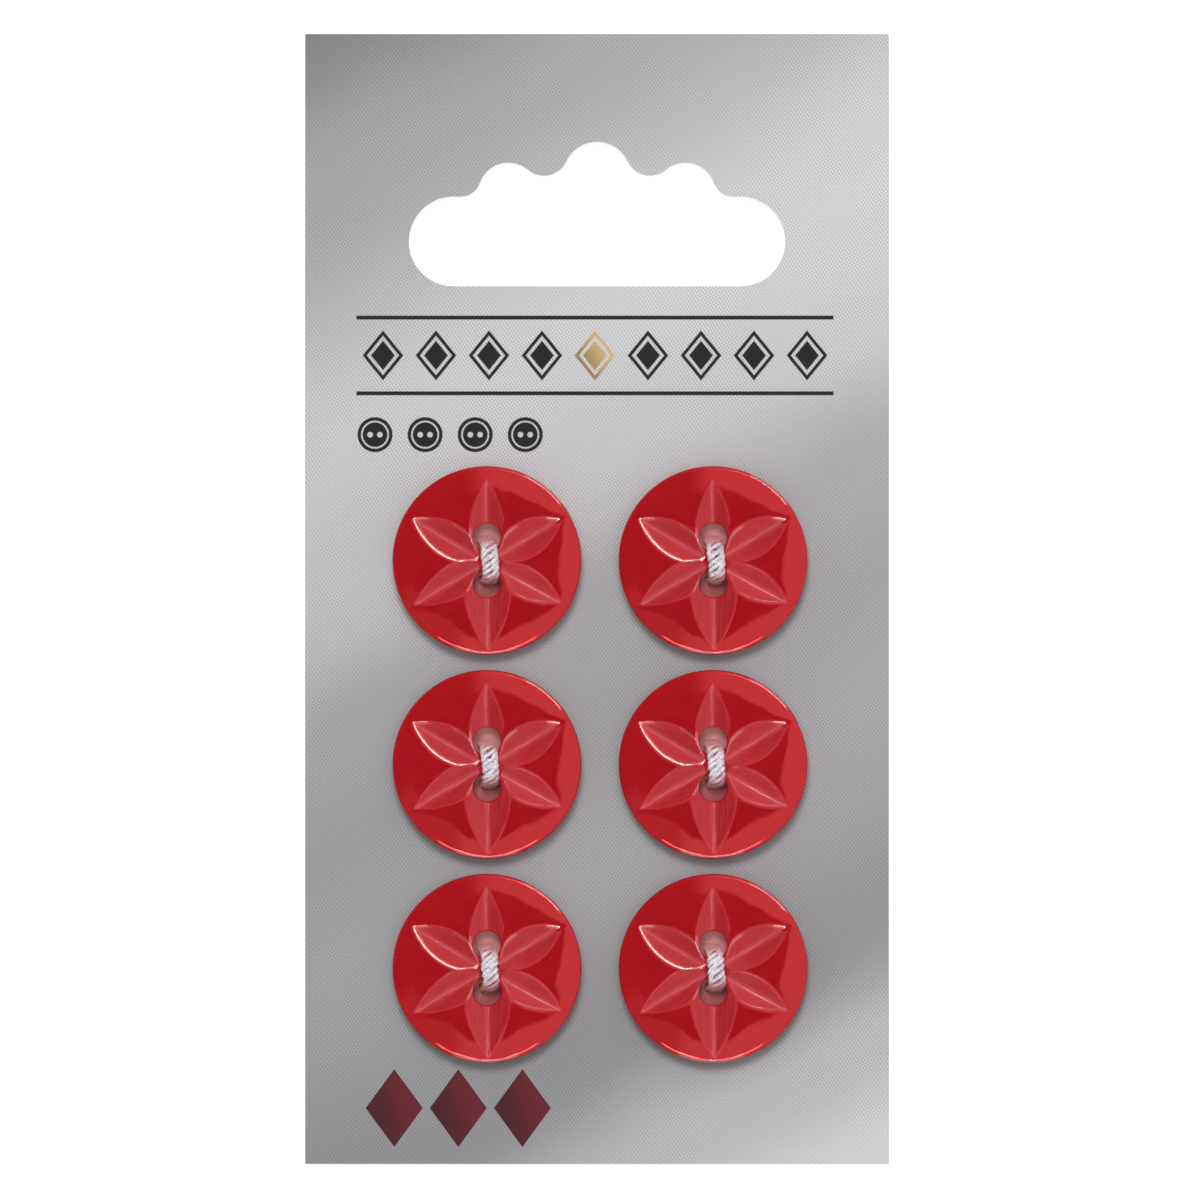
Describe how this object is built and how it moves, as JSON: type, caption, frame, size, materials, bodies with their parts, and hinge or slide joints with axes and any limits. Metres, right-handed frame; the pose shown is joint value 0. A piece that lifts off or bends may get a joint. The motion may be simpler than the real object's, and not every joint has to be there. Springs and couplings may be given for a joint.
{
  "type": "card of buttons",
  "caption": "Red star-cut two-hole buttons tied with white thread to a silver backing card with a scalloped hang slot.",
  "frame": {"origin": "under the middle of the card, at the level on which the knots behind it rest", "axes": "+Y towards the hang slot, +X to the right seen from the printed side, +Z out of the printed side"},
  "size_m": [0.05, 0.097, 0.0046],
  "materials": {
    "card": "satin silver print on white board",
    "button": "polished red resin with satin-cut petals",
    "thread": "soft twisted white yarn"
  },
  "bodies": {
    "root": {"backing_card": "card", "button_top_left": "button", "button_top_right": "button", "button_middle_left": "button", "button_middle_right": "button", "button_bottom_left": "button", "button_bottom_right": "button", "thread_top_left": "thread", "thread_top_right": "thread", "thread_middle_left": "thread", "thread_middle_right": "thread", "thread_bottom_left": "thread", "thread_bottom_right": "thread"}
  },
  "joints": []
}
